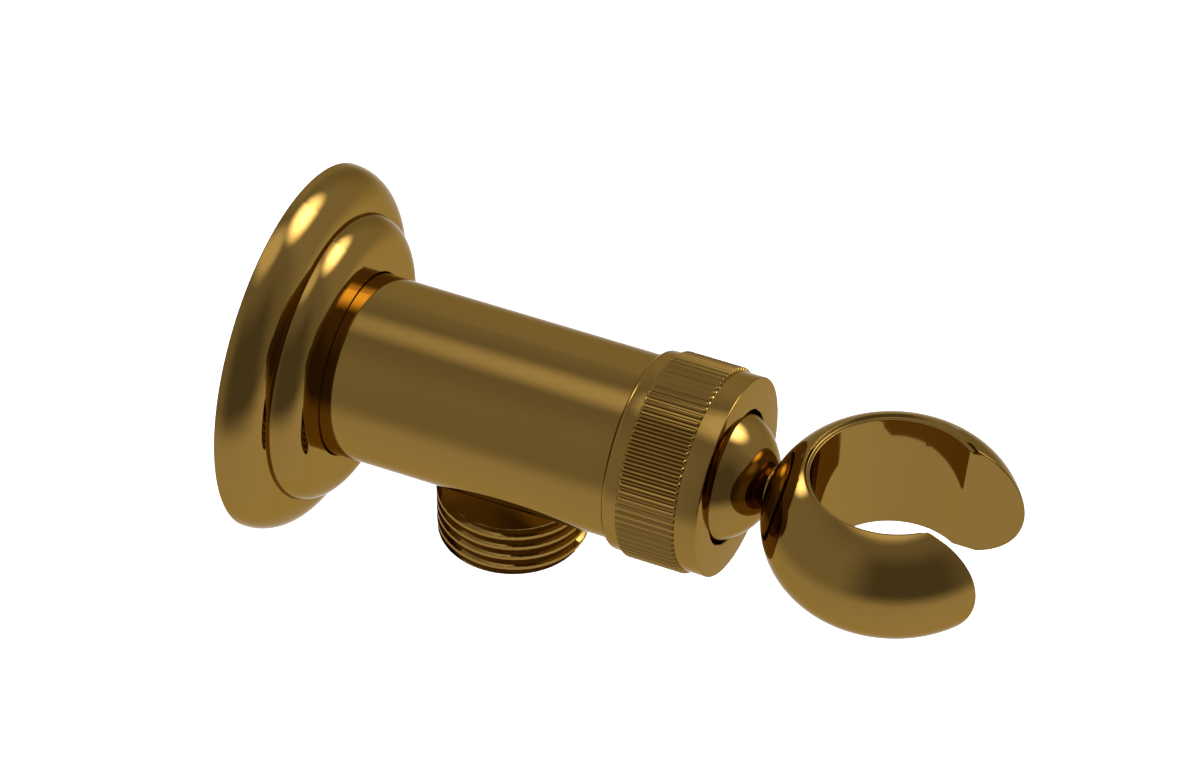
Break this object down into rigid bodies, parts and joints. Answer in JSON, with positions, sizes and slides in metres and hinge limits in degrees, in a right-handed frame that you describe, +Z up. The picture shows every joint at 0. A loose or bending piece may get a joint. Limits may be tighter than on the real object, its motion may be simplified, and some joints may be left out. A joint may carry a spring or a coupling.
{
  "type": "hand shower holder",
  "caption": "Wall-mounted hand shower holder with a round stepped flange, a threaded water outlet, a knurled cap and an open swivelling ring.",
  "frame": {"origin": "centre of the threaded inlet at the wall, on the pipe axis", "axes": "+Y along the pipe axis into the wall, out of the inlet's mouth; +Z up, so the hose outlet points along -Z; the holder ring is at the -Y end"},
  "size_m": [0.0516, 0.1024, 0.0516],
  "materials": {
    "gold_metal": "polished antique gold",
    "white_plastic": "moulded acetal",
    "black_rubber": "smooth rubber",
    "spring_steel": "bright spring steel"
  },
  "bodies": {
    "fitting": {"elbow_body": "gold_metal", "outlet_nipple": "gold_metal", "outlet_washer": "black_rubber", "check_valve_housing": "white_plastic", "check_valve_o_ring": "black_rubber", "check_valve_cage": "white_plastic", "check_valve_spring": "spring_steel", "seat_spring": "spring_steel"},
    "flange": {"wall_flange": "gold_metal", "flange_o_ring": "black_rubber"},
    "poppet": {"check_valve_poppet": "white_plastic", "check_valve_seal": "black_rubber"},
    "cup": {"seat_cup": "white_plastic"},
    "ball": {"swivel_ball": "gold_metal"},
    "cradle": {"holder_ring": "gold_metal"},
    "front_seat": {"front_seat_ring": "white_plastic"},
    "cap": {"knurled_cap": "gold_metal"}
  },
  "joints": [
    {"name": "flange_slide", "type": "slide", "parent": "fitting", "child": "flange", "axis": [0, -1, 0], "range_m": [0, 0.0115]},
    {"name": "cup_turn", "type": "hinge", "parent": "fitting", "child": "cup", "pos_m": [0, -0.06068, 0], "axis": [0, -1, 0], "continuous": true},
    {"name": "ball_tilt", "type": "hinge", "parent": "cup", "child": "ball", "pos_m": [0, -0.06068, 0], "axis": [1, 0, 0], "range_deg": [-30, 30]},
    {"name": "cradle_turn", "type": "hinge", "parent": "ball", "child": "cradle", "pos_m": [0, -0.07, 0], "axis": [0, -1, 0], "continuous": true},
    {"name": "front_seat_slide", "type": "slide", "parent": "fitting", "child": "front_seat", "axis": [0, -1, 0], "range_m": [0, 0.001]},
    {"name": "cap_turn", "type": "hinge", "parent": "front_seat", "child": "cap", "pos_m": [0, -0.0509, 0], "axis": [0, -1, 0], "range_deg": [0, 360]},
    {"name": "poppet_slide", "type": "slide", "parent": "fitting", "child": "poppet", "axis": [0, 0, -1], "range_m": [0, 0.001], "stiffness_N_per_m": 120, "springref_m": -0.003, "deforming": ["check_valve_spring"]}
  ],
  "couplings": [
    {"joint": "front_seat_slide", "follows": "cap_turn", "m_per_rad": 0.00015915}
  ]
}
